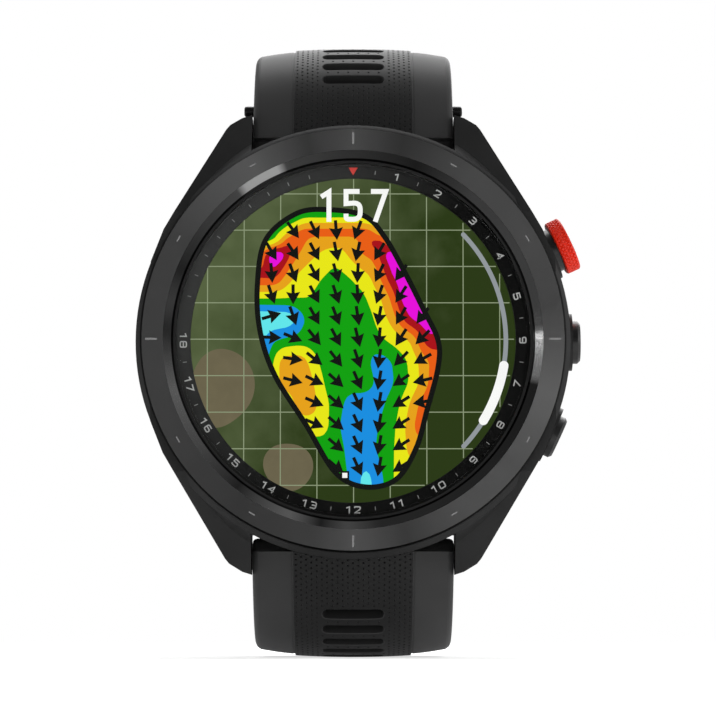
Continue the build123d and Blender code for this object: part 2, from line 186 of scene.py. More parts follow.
def wrapped_faces(rows, count):
    """Faces of a grid of points that closes on itself both ways, like a ring's skin."""
    return [
        (i * count + j, i * count + (j + 1) % count,
         (i + 1) % rows * count + (j + 1) % count, (i + 1) % rows * count + j)
        for i in range(rows) for j in range(count)
    ]


# ================================================================ materials
class Nodes:
    """A new material's node tree, with short ways to add to it."""

    def __init__(self, name):
        self.material = bpy.data.materials.new(name)
        self.material.use_nodes = True
        self.tree = self.material.node_tree
        self.shader = self.tree.nodes["Principled BSDF"]

    def add(self, kind, **inputs):
        """A node, its inputs set by name; a socket given as a value is linked."""
        node = self.tree.nodes.new(kind)
        for key, value in inputs.items():
            self.put(node.inputs[key.replace("_", " ")], value)
        return node

    def put(self, socket, value):
        if isinstance(value, bpy.types.NodeSocket):
            self.tree.links.new(value, socket)
        else:
            socket.default_value = value

    def math(self, operation, first, second=0.0):
        node = self.tree.nodes.new("ShaderNodeMath")
        node.operation = operation
        self.put(node.inputs[0], first)
        self.put(node.inputs[1], second)
        return node.outputs[0]

    def place(self):
        return self.add("ShaderNodeTexCoord").outputs["Object"]

    def noise(self, scale, detail=3.0, rough=0.5, place=None):
        node = self.add("ShaderNodeTexNoise", Scale=scale, Detail=detail, Roughness=rough)
        self.put(node.inputs["Vector"], place or self.place())
        return node.outputs["Fac"]

    def ramp(self, factor, low, high, start=0.3, end=0.7):
        node = self.tree.nodes.new("ShaderNodeValToRGB")
        self.put(node.inputs["Fac"], factor)
        node.color_ramp.elements[0].position = start
        node.color_ramp.elements[1].position = end
        node.color_ramp.elements[0].color = low
        node.color_ramp.elements[1].color = high
        return node.outputs["Color"]

    def span(self, factor, low, high, start=0.0, end=1.0):
        """A factor between start and end stretched to the values from low to high."""
        node = self.add("ShaderNodeMapRange", Value=factor)
        for name, value in (("From Min", start), ("From Max", end), ("To Min", low), ("To Max", high)):
            self.put(node.inputs[name], value)
        return node.outputs["Result"]

    def mix(self, factor, first, second, blend="MIX"):
        """A colour between two, or the product of two."""
        node = self.tree.nodes.new("ShaderNodeMix")
        node.data_type, node.blend_type = "RGBA", blend
        for socket, value in ((0, factor), (6, first), (7, second)):
            self.put(node.inputs[socket], value)
        return node.outputs[2]

    def bump(self, height, strength, distance):
        node = self.add("ShaderNodeBump", Strength=strength, Distance=distance)
        self.put(node.inputs["Height"], height)
        self.put(self.shader.inputs["Normal"], node.outputs["Normal"])

    def set(self, **inputs):
        for key, value in inputs.items():
            self.put(self.shader.inputs[key.replace("_", " ")], value)

    def glow(self, colour, rough=0.4, power=1.0):
        """Makes the surface give out its own light and reflect none."""
        self.set(Base_Color=grey(0.0), Roughness=rough, Specular_IOR_Level=0.0)
        self.set(Emission_Color=colour, Emission_Strength=power)

    def to_upper_left(self, lift):
        """A value in metres that grows towards the dial's upper left, where glare is painted."""
        parts = self.add("ShaderNodeSeparateXYZ", Vector=self.place())
        return self.math("SUBTRACT", self.math("MULTIPLY", parts.outputs["Z"], lift), parts.outputs["X"])


def grey(value):
    return (value, value, value, 1.0)


def moulded(name, low, high, rough=0.5, grain=9000, bump=0.06, specular=0.5):
    """Moulded plastic or rubber: slight mottling, a fine pebbled surface, varied gloss."""
    n = Nodes(name)
    broad = n.noise(160, detail=4)
    fine = n.noise(grain, detail=2)
    n.set(Base_Color=n.ramp(broad, low, high), Specular_IOR_Level=specular)
    n.set(Roughness=n.span(broad, rough - 0.06, rough + 0.06))
    n.bump(fine, bump, 0.00004)
    return n.material


def metal(name, low, high, rough=0.3, metallic=1.0, grain=2600, bump=0.03):
    """Plain machined or coated metal, with fine tool marks and a faint tone change."""
    n = Nodes(name)
    broad = n.noise(260, detail=4)
    fine = n.noise(grain, detail=3)
    n.set(Base_Color=n.ramp(broad, low, high), Metallic=metallic)
    n.set(Roughness=n.span(fine, rough - 0.05, rough + 0.07))
    n.bump(fine, bump, 0.00003)
    return n.material


def around_dial(n):
    """Radius and angle about the dial's axis, from the piece's own coordinates."""
    parts = n.add("ShaderNodeSeparateXYZ", Vector=n.place())
    x, z = parts.outputs["X"], parts.outputs["Z"]
    squares = n.math("ADD", n.math("MULTIPLY", x, x), n.math("MULTIPLY", z, z))
    return n.math("SQRT", squares), n.math("ARCTAN2", z, x)


# Painted reflections: how light the bezel's brushed face looks round the dial: (degrees clockwise from 12,
# grey).
PAINTED_FLAT_SHEEN = (
    (0, 0.4), (14, 0.19), (35, 0.33), (80, 0.26), (105, 0.5), (128, 0.36), (146, 0.34), (165, 0.18),
    (180, 0.32), (192, 0.2), (215, 0.17), (240, 0.22), (300, 0.23), (330, 0.5), (347, 0.21),
)
# Painted reflections on the polished inner chamfer, in the same form.
PAINTED_CUT_SHEEN = (
    (0, 0.08), (20, 0.03), (40, 0.1), (74, 0.1), (87, 0.1), (89, 1.0), (102, 0.95), (104, 0.1),
    (172, 0.16), (182, 0.5), (190, 0.1), (200, 0.8), (218, 0.12), (254, 0.9), (272, 0.16),
    (292, 0.03), (322, 0.12), (325, 0.7), (336, 0.8), (339, 0.12),
)


def clock_ramp(n, angle, stops):
    """A grey that changes round the dial, given its stops clockwise from 12 o'clock."""
    turn = n.math("FRACT", n.math("SUBTRACT", 1.25, n.math("DIVIDE", angle, 2 * pi)))
    ramp = n.tree.nodes.new("ShaderNodeValToRGB")
    n.put(ramp.inputs["Fac"], turn)
    elements = ramp.color_ramp.elements
    elements[0].color, elements[1].color = grey(stops[0][1]), grey(stops[0][1])
    for degrees, value in stops[1:]:
        elements.new(degrees / 360).color = grey(value)
    return ramp.outputs["Color"]


def bezel_finish():
    """Circular brushing on the flat face and a polished bright-cut on the inner chamfer, with painted
    reflections round the dial and painted shade on the bore and outer rim.
    """
    n = Nodes("bezel_brushed_painted_sheen")
    radius, angle = around_dial(n)
    lines = n.add("ShaderNodeCombineXYZ", X=n.math("MULTIPLY", radius, 26000.0),
                  Y=n.math("MULTIPLY", angle, 6.0))
    brush = n.noise(1.0, detail=4, rough=0.65, place=lines.outputs["Vector"])
    streak = n.add("ShaderNodeCombineXYZ", X=n.math("MULTIPLY", angle, 3.2))
    broad = n.noise(1.0, detail=2, place=streak.outputs["Vector"])
    polished = n.math("LESS_THAN", radius, CHAMFER_R * MM)
    within = n.math("LESS_THAN", radius, BEZEL_FACE_R * MM)
    on_face = n.math("MULTIPLY", within, n.math("GREATER_THAN", radius, BEZEL_BORE_R * MM))
    # Painted reflections: the grey that the tables give round the dial is put into the metal's colour.
    sheen = n.mix(polished, clock_ramp(n, angle, PAINTED_FLAT_SHEEN), clock_ramp(n, angle, PAINTED_CUT_SHEEN))
    # Painted shade: off the flat face, on the bore and the outer rim, the colour drops to 7% to dim their
    # reflections.
    shade = n.math("MULTIPLY", n.span(broad, 0.8, 1.0), n.span(on_face, 0.07, 1.0))
    n.set(Base_Color=n.mix(1.0, sheen, shade, "MULTIPLY"), Metallic=1.0, Anisotropic=0.75)
    shine = n.add("ShaderNodeMix", Factor=polished, A=n.span(brush, 0.36, 0.47), B=0.13)
    tangent = n.add("ShaderNodeTangent")
    tangent.direction_type, tangent.axis = "RADIAL", "Y"
    n.set(Roughness=shine.outputs["Result"], Tangent=tangent.outputs["Tangent"])
    n.bump(brush, 0.05, 0.00002)
    return n.material


def ring_finish():
    """Satin black printed ring, greyer towards the upper left in a painted glare of the cover glass."""
    n = Nodes("ring_black")
    # Painted glare of the cover glass: the ring's black greys towards the upper left.
    painted_glare = n.math("MULTIPLY", n.to_upper_left(0.65), 24.0)
    shade = n.math("ADD", painted_glare, n.math("MULTIPLY", n.noise(200), 0.1))
    n.set(Base_Color=n.ramp(shade, grey(0.0005), grey(0.03), 0.0, 0.55), Specular_IOR_Level=0.2)
    n.set(Roughness=n.span(n.noise(160), 0.4, 0.5))
    n.bump(n.noise(9000, detail=2), 0.02, 0.00004)
    return n.material


def lens_finish():
    """Clear glass: see-through, with a mirror reflection that grows at grazing angles."""
    n = Nodes("lens_clear")
    clear = n.add("ShaderNodeBsdfTransparent", Color=(0.985, 0.99, 0.985, 1.0))
    smear = n.noise(120, detail=3)
    gloss = n.add("ShaderNodeBsdfGlossy", Roughness=n.span(smear, 0.02, 0.05))
    facing = n.add("ShaderNodeFresnel", IOR=1.45).outputs["Fac"]
    outside = n.math("SUBTRACT", 1.0, n.add("ShaderNodeNewGeometry").outputs["Backfacing"])
    both = n.add("ShaderNodeMixShader", Fac=n.math("MULTIPLY", facing, outside))
    n.tree.links.new(clear.outputs["BSDF"], both.inputs[1])
    n.tree.links.new(gloss.outputs["BSDF"], both.inputs[2])
    n.tree.links.new(both.outputs["Shader"], n.tree.nodes["Material Output"].inputs["Surface"])
    n.tree.nodes.remove(n.shader)
    return n.material


def lit(name, colour, power=1.0, variation=0.06, scale=260):
    """A lit part of the display, with the slight unevenness of its pixels."""
    n = Nodes(name)
    uneven = n.noise(scale, detail=2)
    dim = tuple(c * (1 - variation) for c in colour[:3]) + (1.0,)
    n.glow(n.ramp(uneven, dim, colour), 0.35, power)
    return n.material


def land_finish():
    """Fairway green seen from above: mottled grass, paler towards the upper left in a painted glare of the
    cover glass.
    """
    n = Nodes("display_land")
    mottle = n.math("MULTIPLY", n.noise(260, detail=5), 0.5)
    # Painted glare: the green pales towards the upper left.
    shade = n.math("ADD", n.math("MULTIPLY", n.to_upper_left(0.55), 15.0), mottle)
    n.glow(n.ramp(shade, srgb(43, 58, 21), srgb(88, 100, 66), 0.15, 0.55))
    return n.material


# The slope map's colours, from the flattest to the steepest, and how many levels there are.
SLOPE_COLOURS = (
    (100, 235, 240), (25, 145, 230), (16, 164, 14), (238, 236, 22),
    (236, 165, 26), (238, 96, 20), (172, 16, 26), (236, 14, 224),
)
TOP_LEVEL = 8.0


def slope_finish():
    """The putting-slope map: the mesh's own slope value, cut into bands of colour."""
    n = Nodes("display_slope")
    value = n.add("ShaderNodeAttribute")
    value.attribute_name = "slope"
    ramp = n.tree.nodes.new("ShaderNodeValToRGB")
    ramp.color_ramp.interpolation = "CONSTANT"
    n.put(ramp.inputs["Fac"], value.outputs["Fac"])
    elements = ramp.color_ramp.elements
    elements.remove(elements[1])
    elements[0].color = srgb(*SLOPE_COLOURS[0])
    for level, colour in enumerate(SLOPE_COLOURS[1:]):
        elements.new((level + 0.5) / TOP_LEVEL).color = srgb(*colour)
    n.glow(ramp.outputs["Color"])
    return n.material


def silicone_finish(name, low, high, rough):
    """Matt silicone: a dusty sheen at grazing angles over a very fine moulded grain."""
    n = Nodes(name)
    broad = n.noise(90, detail=5)
    fine = n.noise(14000, detail=2)
    n.set(Base_Color=n.ramp(broad, low, high), Specular_IOR_Level=0.45)
    n.set(Roughness=n.span(broad, rough - 0.05, rough + 0.05))
    n.set(Sheen_Weight=0.12, Sheen_Roughness=0.45, Sheen_Tint=(0.6, 0.6, 0.62, 1.0))
    n.bump(fine, 0.08, 0.00003)
    return n.material


def make_finishes():
    """Every material, by the short name that the pieces ask for."""
    return {
        "case": moulded("case_polymer", grey(0.012), grey(0.017), rough=0.45, bump=0.10, specular=0.42),
        "bezel": bezel_finish(),
        "lens": lens_finish(),
        "rubber": moulded("gasket_rubber", grey(0.006), grey(0.009), rough=0.6),
        "ring": ring_finish(),
        "panel": moulded("display_edge", grey(0.012), grey(0.016), rough=0.3),
        "film": moulded("flex_film", srgb(150, 90, 30), srgb(176, 112, 44), rough=0.3),
        "bracket": metal("bracket_metal", grey(0.45), grey(0.55), rough=0.4),
        "board": moulded("board_green", srgb(8, 60, 30), srgb(14, 78, 40), rough=0.35),
        "tin": metal("shield_tin", grey(0.5), grey(0.62), rough=0.25),
        "foil": metal("battery_foil", grey(0.55), grey(0.66), rough=0.32, grain=900),
        "cover": moulded("cover_polymer", grey(0.016), grey(0.024), rough=0.38, bump=0.08),
        "screw": metal("screw_steel", grey(0.16), grey(0.26), rough=0.28),
        "window": moulded("window_gloss", grey(0.003), grey(0.005), rough=0.08, bump=0.01),
        "led": moulded("led_lens", srgb(60, 120, 70), srgb(90, 150, 96), rough=0.2),
        "gold": metal("pin_gold", srgb(190, 140, 60), srgb(222, 176, 92), rough=0.22),
        "steel": metal("turned_steel", grey(0.26), grey(0.36), rough=0.3),
        "vent": metal("vent_steel", grey(0.09), grey(0.14), rough=0.35),
        "red": metal("red_anodised", srgb(208, 34, 8), srgb(222, 42, 12), rough=0.4, metallic=0.1),
        "black_cap": metal("black_cap", grey(0.02), grey(0.03), rough=0.25, metallic=0.8),
        "dark_cap": metal("dark_cap", grey(0.09), grey(0.14), rough=0.34),
        "buckle": metal("buckle_coat", grey(0.035), grey(0.05), rough=0.3, metallic=0.9),
        "silicone": silicone_finish("silicone_smooth", grey(0.021), grey(0.028), 0.50),
        # The band's darker silicone, also used inside the slots as painted shade.
        "band": silicone_finish("silicone_band_and_slot_shade", grey(0.008), grey(0.012), 0.45),
        "mark": moulded("bezel_mark", grey(0.14), grey(0.18), rough=0.5),
        "print": moulded("ring_print", grey(0.36), grey(0.42), rough=0.6),
        "faint_print": moulded("ring_print_faint", grey(0.18), grey(0.22), rough=0.6),
        "land": land_finish(),
        "slope": slope_finish(),
        "bunker": lit("display_bunker", srgb(112, 104, 80), variation=0.12, scale=500),
        "grid": lit("display_grid", srgb(146, 158, 126)),
        "black_line": lit("display_black", srgb(18, 20, 18)),
        "white": lit("display_white", srgb(252, 252, 250), power=1.05),
        "grey_arc": lit("display_grey", srgb(150, 156, 160)),
        "red_print": moulded("ring_print_red", srgb(178, 40, 34), srgb(196, 52, 42), rough=0.6),
    }


finish = make_finishes()
NODE_FINISH = {
    "case_body": "case", "bezel": "bezel", "bezel_gasket": "rubber", "lens": "lens",
    "lens_gasket": "rubber", "hole_number_ring": "ring", "display_panel": "panel",
    "display_flex": "film", "display_bracket": "bracket", "gnss_antenna": "panel",
    "main_board": "board", "board_shields": "tin", "battery": "foil",
    "vibration_motor": "steel", "pressure_vent": "vent", "back_cover": "cover",
    "back_gasket": "rubber", "back_screws": "screw", "sensor_window": "window",
    "sensor_board": "board", "sensor_leds": "led", "charging_socket": "cover",
    "charging_pins": "gold", "upper_end_insert": "black_cap", "buckle_frame": "buckle",
    "buckle_tang": "buckle", "action_ring": "red", "action_insert": "black_cap",
    "menu_cap": "dark_cap", "back_cap": "dark_cap", "action_stem": "dark_cap",
}
SILICONE_NODES = ("upper_strap", "lower_strap", "fixed_keeper", "free_keeper")


def finish_nodes():
    """Gives every CAD piece its material; those not named are rubber seals or plain steel."""
    for name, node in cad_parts.items():
        kind = NODE_FINISH.get(name)
        if kind is None:
            kind = "silicone" if name in SILICONE_NODES else "steel"
            kind = "rubber" if name.endswith("_seal") else kind
        node.data.materials.clear()
        node.data.materials.append(finish[kind])


# ================================================================ camera, light, floor
def put_camera():
    """Looks slightly up at the dial from 0.4 m, from straight in front."""
    reach, rise, swing = 0.400, radians(4.4), radians(0.04)
    aim = Vector((0.53, -13.9, -2.09)) * MM
    data = bpy.data.cameras.new("camera")
    data.sensor_width, data.lens = 36.0, 185.4
    data.clip_start, data.clip_end = 0.01, 50.0
    camera = bpy.data.objects.new("camera", data)
    camera.location = aim - reach * Vector((sin(swing) * cos(rise), cos(swing) * cos(rise), sin(rise)))
    camera.rotation_euler = (pi / 2 + rise, 0, -swing)
    bpy.context.scene.collection.objects.link(camera)
    bpy.context.scene.camera = camera


def panel_light(name, place, size, power):
    """A soft rectangular light at a place in metres, aimed at the origin."""
    data = bpy.data.lights.new(name, "AREA")
    data.shape, data.size, data.size_y, data.energy = "RECTANGLE", size[0], size[1], power
    light = bpy.data.objects.new(name, data)
    light.location = place
    light.rotation_euler = (-Vector(place)).to_track_quat("-Z", "Y").to_euler()
    bpy.context.scene.collection.objects.link(light)
    return light


def put_lights():
    """A soft studio; the front light brightens matt surfaces without showing in glossy ones."""
    panel_light("chamfer_card", (-0.50, -0.25, 0.018), (0.08, 0.07), 0.08)
    panel_light("fill_right", (0.55, -0.10, 0.18), (0.25, 0.40), 0.5)
    panel_light("top", (0.0, 0.30, 0.60), (0.60, 0.40), 2.2)
    panel_light("back", (0.1, 0.60, 0.30), (0.50, 0.40), 1.6)
    front = panel_light("front_matt", (0.1, -0.90, 0.15), (0.80, 0.80), 4.8)
    front.visible_glossy = False


def put_floor():
    """A pale floor that keeps the watch's shadow and fades to white away from it."""
    half, level = 6.0, cad_box[0][2] / MM - 0.02
    corners = [(-half, -half), (half, -half), (half, half), (-half, half)]
    n = Nodes("studio_floor")
    n.set(Base_Color=n.ramp(n.noise(3.0), grey(0.60), grey(0.62)), Roughness=0.9, Specular_IOR_Level=0.1)
    away = n.add("ShaderNodeVectorMath", Vector=n.place())
    away.operation = "LENGTH"
    fade = n.span(away.outputs["Value"], 0.62, 1.0, 0.05, 0.12)
    path = n.add("ShaderNodeLightPath")
    seen = n.math("MULTIPLY", path.outputs["Is Camera Ray"], fade)
    bounced = n.math("MULTIPLY", path.outputs["Is Diffuse Ray"], 1.3)
    n.set(Emission_Color=grey(1.0), Emission_Strength=n.math("ADD", seen, bounced))
    points = [(x / MM, y / MM, level) for x, y in corners]
    mesh_object("studio_floor", points, [(0, 1, 2, 3)], n.material, None)


def put_sky():
    """White all round for the camera; to the object, dim in front and lighter behind."""
    world = bpy.data.worlds.new("studio")
    world.use_nodes = True
    bpy.context.scene.world = world
    tree = world.node_tree
    way = tree.nodes.new("ShaderNodeSeparateXYZ")
    tree.links.new(tree.nodes.new("ShaderNodeTexCoord").outputs["Generated"], way.inputs["Vector"])
    studio = tree.nodes.new("ShaderNodeMapRange")
    for key, value in (("From Min", -0.5), ("From Max", 0.3), ("To Min", 0.10), ("To Max", 0.34)):
        studio.inputs[key].default_value = value
    tree.links.new(way.outputs["Y"], studio.inputs["Value"])
    strength = tree.nodes.new("ShaderNodeMapRange")
    strength.inputs["To Max"].default_value = 1.0
    tree.links.new(studio.outputs["Result"], strength.inputs["To Min"])
    seen = tree.nodes.new("ShaderNodeLightPath")
    tree.links.new(seen.outputs["Is Camera Ray"], strength.inputs["Value"])
    back = tree.nodes["Background"]
    back.inputs["Color"].default_value = grey(1.0)
    tree.links.new(strength.outputs["Result"], back.inputs["Strength"])
    bpy.context.scene.view_settings.view_transform = "Standard"


put_camera()
put_lights()
put_floor()
put_sky()
finish_nodes()


# ================================================================ bezel and ring print
def bezel_marks():
    """Paint in the twelve engraved marks: radial lines at the quarters, dashes between."""
    marks = Drawing()
    for hour in range(12):
        dash = hour % 3 > 0
        shape = oblong(0.74, 0.15) if dash else oblong(0.23, 1.28)
        placed = turned_outline(shape, 30 * hour, MARK_R if dash else LONG_MARK_R)
        marks.inlay(placed, MARK_BACK, MARK_FRONT)
    marks.piece("bezel_marks", finish["mark"])


# Each digit as strokes through corners in a unit box; a corner's third value rounds it off.
DIGITS = {
    "0": [[(0.5, 0, 0), (1, 0, 1), (1, 1, 1), (0, 1, 1), (0, 0, 1), (0.5, 0, 0)]],
    "1": [[(0.05, 0.8, 0), (0.6, 0.98, 0), (0.6, -0.09, 0)]],
    "2": [[(0, 0.8, 0), (0, 1, 1), (1, 1, 1), (1, 0.6, 1), (0, 0, 0), (1, 0, 0)]],
    "3": [[(0, 1, 0), (1, 1, 1), (1, 0, 1), (0, 0, 0)], [(0.25, 0.5, 0), (1, 0.5, 0)]],
    "4": [[(0.8, -0.09, 0), (0.8, 1, 0), (0, 0.3, 0), (1, 0.3, 0)]],
    "5": [[(0.95, 1, 0), (0, 1, 0), (0, 0.56, 0), (1, 0.6, 1), (1, 0, 1), (0, 0, 1), (0, 0.2, 0)]],
    "6": [[(0.9, 1, 0), (0, 1, 1), (0, 0, 1), (1, 0, 1), (1, 0.56, 1), (0, 0.56, 0)]],
    "7": [[(-0.05, 1, 0), (1, 1, 0), (0.25, -0.09, 0)]],
    "8": [[(0.5, 0, 0), (1, 0, 1), (1, 1, 1), (0, 1, 1), (0, 0, 1), (0.5, 0, 0)],
          [(0, 0.5, 0), (1, 0.5, 0)]],
    "9": [[(0.1, 0, 0), (1, 0, 1), (1, 1, 1), (0, 1, 1), (0, 0.44, 1), (1, 0.44, 0)]],
}


def curve_past(start, corner, end, count):
    """Points on the curve from start to end that bends at a corner."""
    return [
        start * (1 - t) ** 2 + corner * 2 * t * (1 - t) + end * t * t for t in np.linspace(0, 1, count)
    ]


def rounded_path(corners, radius):
    """The line through the corners, with an arc where a corner asks for one."""
    path = []
    for i, (x, y, soft) in enumerate(corners):
        here = np.array([x, y])
        if not soft or i in (0, len(corners) - 1):
            path.append(here)
            continue
        back, on = np.array(corners[i - 1][:2]) - here, np.array(corners[i + 1][:2]) - here
        reach = min(radius, 0.5 * np.linalg.norm(back), 0.5 * np.linalg.norm(on))
        start = here + back / np.linalg.norm(back) * reach
        end = here + on / np.linalg.norm(on) * reach
        path += curve_past(start, here, end, 7)
    steps = np.linalg.norm(np.diff(path, axis=0), axis=1)
    return np.array(path)[np.concatenate([[True], steps > 1e-6])]


def stroke(path, width):
    """A line's two edges as one ribbon: (points, faces), mitred at its corners."""
    ahead = np.diff(path, axis=0)
    ahead /= np.linalg.norm(ahead, axis=1)[:, None]
    side = np.stack([-ahead[:, 1], ahead[:, 0]], axis=1)
    middle = side[:-1] + side[1:]
    middle /= np.maximum(0.35, (middle * side[1:]).sum(axis=1))[:, None]
    joint = np.vstack([side[:1], middle, side[-1:]]) * width / 2
    count = len(path)
    faces = [(i + count, i + 1 + count, i + 1, i) for i in range(count - 1)]
    return np.vstack([path + joint, path - joint]), faces


def figures(words, width, height, gap, weight, soft):
    """Digits as flat ribbons about the origin: a list of (points, faces) in millimetres."""
    drawn, step = [], width + gap
    start = -(step * len(words) - gap) / 2
    for place, digit in enumerate(words):
        for corners in DIGITS[digit]:
            sized = [(start + place * step + x * width, (y - 0.5) * height, r) for x, y, r in corners]
            drawn.append(stroke(rounded_path(sized, soft), weight))
    return drawn


def hole_numbers():
    """The holes 1 to 18, one each 15 degrees; from 6 on their heads point to the centre."""
    numbers = Drawing()
    for hole in range(1, 19):
        flip = -1 if hole > 5 else 1
        for points, faces in figures(str(hole), 0.60, 0.66, 0.34, 0.135, 0.18):
            placed = turned_outline([(flip * x, flip * y) for x, y in points], 15 * hole, RING_TEXT_R)
            numbers.add([(x, -PRINT_DEPTH, z) for x, z in placed], faces)
    numbers.piece("hole_numbers", finish["print"])


def ring_ticks():
    """A short tick midway between numbers, and on round the stretch that has none."""
    ticks = Drawing()
    angles = [15 * i + 7.5 for i in range(18)] + [277.5 + 7.5 * i for i in range(1, 10)]
    for angle in angles:
        ticks.flat(turned_outline(oblong(0.085, 0.42), angle, RING_TEXT_R), PRINT_DEPTH)
    ticks.piece("ring_ticks", finish["faint_print"])


def noon_marker():
    """A small red pennant where the ring's count starts."""
    marker = Drawing()
    pennant = [(-0.5, 0.42), (0.0, -0.42), (0.5, 0.42)]
    marker.flat(turned_outline(pennant, 0, RING_TEXT_R), PRINT_DEPTH)
    marker.piece("noon_marker", finish["red_print"])


def lathed(profile, steps):
    """A closed turned body about the dial's axis: its points and faces in millimetres.

    The profile is a loop of (radius, depth) corners.
    """
    points = []
    for i in range(steps):
        turn = 2 * pi * (i + 0.37) / steps
        points += [(radius * sin(turn), -depth, radius * cos(turn)) for radius, depth in profile]
    return points, wrapped_faces(steps, len(profile))


def soft_edges(corners, radius, steps=4):
    """A loop of corners, each cut back to a small arc."""
    loop, count = [], len(corners)
    for i, corner in enumerate(corners):
        here = np.array(corner, dtype=float)
        ends = []
        for other in (corners[i - 1], corners[(i + 1) % count]):
            way = np.array(other) - here
            length = np.linalg.norm(way)
            ends.append(here + way / length * min(radius, 0.45 * length))
        loop += [tuple(point) for point in curve_past(ends[0], here, ends[1], steps + 1)]
    return loop


def make_lens():
    """The cover glass, with its front edge polished round."""
    low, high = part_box("lens")
    radius, back, front = high[0] / MM, -high[1] / MM, -low[1] / MM
    inside = radius - 0.4
    rim = soft_edges([(inside, front), (radius, front), (radius, back), (inside, back)], 0.14)
    points, faces = lathed([(0.01, front)] + rim + [(0.01, back)], 181)
    glass = mesh_object("cover_glass", points, faces, finish["lens"], "head")
    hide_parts("lens")


bezel_marks()
hole_numbers()
ring_ticks()
noon_marker()
make_lens()


# ================================================================ display
# Corners of the green's outline, clockwise from its upper left.
GREEN_EDGE = [
    (-6.0, 13.9), (-2.4, 14.3), (1.4, 13.6), (3.6, 11.3), (5.8, 7.4), (7.8, 3.4), (9.4, 0.0),
    (9.4, -3.0), (8.2, -7.6), (7.0, -11.8), (4.8, -15.2), (1.4, -16.0), (-1.8, -14.4),
    (-5.0, -9.2), (-8.4, -3.8), (-10.0, 1.0), (-10.3, 6.0), (-9.4, 11.0),
]


def smooth_loop(corners, steps):
    """A closed curve through the corners, rounded between them."""
    count = len(corners)
    p = np.array(corners, dtype=float)
    loop = []
    for i in range(count):
        a, b, c, d = p[i - 1], p[i], p[(i + 1) % count], p[(i + 2) % count]
        for step in range(steps):
            t = step / steps
            loop.append(0.5 * (2 * b + (c - a) * t + (2 * a - 5 * b + 4 * c - d) * t ** 2
                               + (3 * b - a - 3 * c + d) * t ** 3))
    return np.array(loop)


def band_between(loop, inside, outside):
    """Two loops either side of a closed line, as left and right edges of a stroke."""
    ahead = np.roll(loop, -1, axis=0) - np.roll(loop, 1, axis=0)
    ahead /= np.linalg.norm(ahead, axis=1)[:, None]
    side = np.stack([ahead[:, 1], -ahead[:, 0]], axis=1)
    return loop + side * inside, loop - side * outside


def hill(x, z, cx, cz, wide, tall):
    """A smooth bump centred on (cx, cz)."""
    return np.exp(-((x - cx) / wide) ** 2 - ((z - cz) / tall) ** 2)


# One row of readings for each row of the green: (distance right, steepness) pairs, where
# steepness 0 is the flattest, drawn in cyan, and 7 the steepest, drawn in magenta.
GREEN_ROWS = {
    13.5: ((-7, 2), (2.5, 2)),
    12.8: ((-7.6, 2), (-6.2, 2.2), (-5.2, 3.8), (1.4, 3.8), (2.4, 3), (3.2, 2)),
    12.0: ((-8, 2), (-6.9, 3.2), (-5.8, 5), (1.5, 5), (2.4, 4.6), (3.2, 2.8)),
    10.7: ((-9, 2), (-8.2, 3), (-6.8, 6), (-5.8, 5), (-4.3, 4), (0.2, 4), (1.4, 5), (2.6, 6.2),
           (3.6, 6), (4.2, 4)),
    9.5: ((-9.8, 4), (-9, 7.4), (-7.8, 7.6), (-6.4, 5), (-5, 4), (-1.7, 2.8), (0.9, 4.5), (2.6, 5),
          (3.5, 6.6), (4.7, 7.5)),
    7.1: ((-10.2, 6), (-8.3, 6), (-7, 4), (-5.5, 3.2), (-3, 2.5), (-1.8, 2.2), (-0.3, 2.5), (2.2, 3.6),
          (3.4, 5), (4.4, 6.6), (6, 7.5)),
    4.7: ((-10.3, 2.7), (-7, 2.7), (-4.5, 2.5), (-3, 2), (0.6, 2), (1.6, 2.5), (3.6, 3.8), (4.9, 5.6),
          (5.6, 7.2), (7.5, 7.5)),
    2.4: ((-10.2, -0.6), (-6.8, -0.4), (-5.4, 1.3), (-4.4, 2), (1.6, 2), (2.4, 2.5), (4.4, 3.9), (6.3, 6.6),
          (8.6, 7.5)),
    0.1: ((-10, 0), (-8.9, 1.2), (-7, 1.7), (-5.1, 1.9), (2.2, 2), (3.5, 2.5), (6.5, 3.6), (8.2, 6.3),
          (9.4, 6)),
    -2.3: ((-9.7, 0.8), (-8.8, 2), (-7.7, 4), (-5.6, 4.2), (-3.7, 2.5), (-2.8, 2), (1, 2), (3, 1),
           (4.4, 1.5), (6.1, 2.5), (8.4, 4.5), (9.3, 5)),
    -4.6: ((-8.8, 2.4), (-7.5, 4), (-5, 4.3), (-3.1, 2.5), (-2.3, 2), (1.4, 2), (3.6, 1), (4.6, 1.5),
           (6.3, 2.5), (8.4, 4.5), (9.1, 5.3)),
    -7.0: ((-7.3, 2.4), (-5.9, 3.8), (-4.6, 4.2), (-2.5, 2.5), (-0.9, 1.5), (0, 1), (2.6, 1), (3.6, 1.5),
           (5.3, 2.5), (7.2, 4.5), (8.3, 5.3)),
    -9.4: ((-5.6, 3), (-3, 2.9), (-2.4, 2.4), (-1.3, 1.5), (-0.5, 1), (2, 1), (2.8, 1.5), (4.9, 2.5),
           (6.7, 4.5), (7.6, 5.1)),
    -11.8: ((-3.8, 2), (-1.6, 2), (-0.8, 1.5), (0, 1), (1.9, 1), (2.5, 1.5), (4.7, 2.5), (6.6, 4)),
    -15.4: ((-1, 1.9), (0.4, 1), (1.5, 0), (2.6, 0.8), (3.6, 1.6), (4.8, 2.8)),
}


def row_levels(x, z):
    """Steepness at each place, read straight between the rows."""
    heights = np.array(sorted(GREEN_ROWS))
    rows = np.array([np.interp(x, *zip(*GREEN_ROWS[h])) for h in heights])
    place = np.interp(z, heights, np.arange(len(heights)))
    low = np.clip(place.astype(int), 0, len(heights) - 2)
    share = place - low
    every = np.arange(len(x))
    return rows[low, every] * (1 - share) + rows[low + 1, every] * share


def steepness(x, z):
    """Steepness with the corners of the rows smoothed away."""
    spread = 0.45
    shifts = [(i * spread, j * spread) for i in (-1, 0, 1) for j in (-1, 0, 1)]
    return sum(row_levels(x + dx, z + dz) for dx, dz in shifts) / len(shifts)


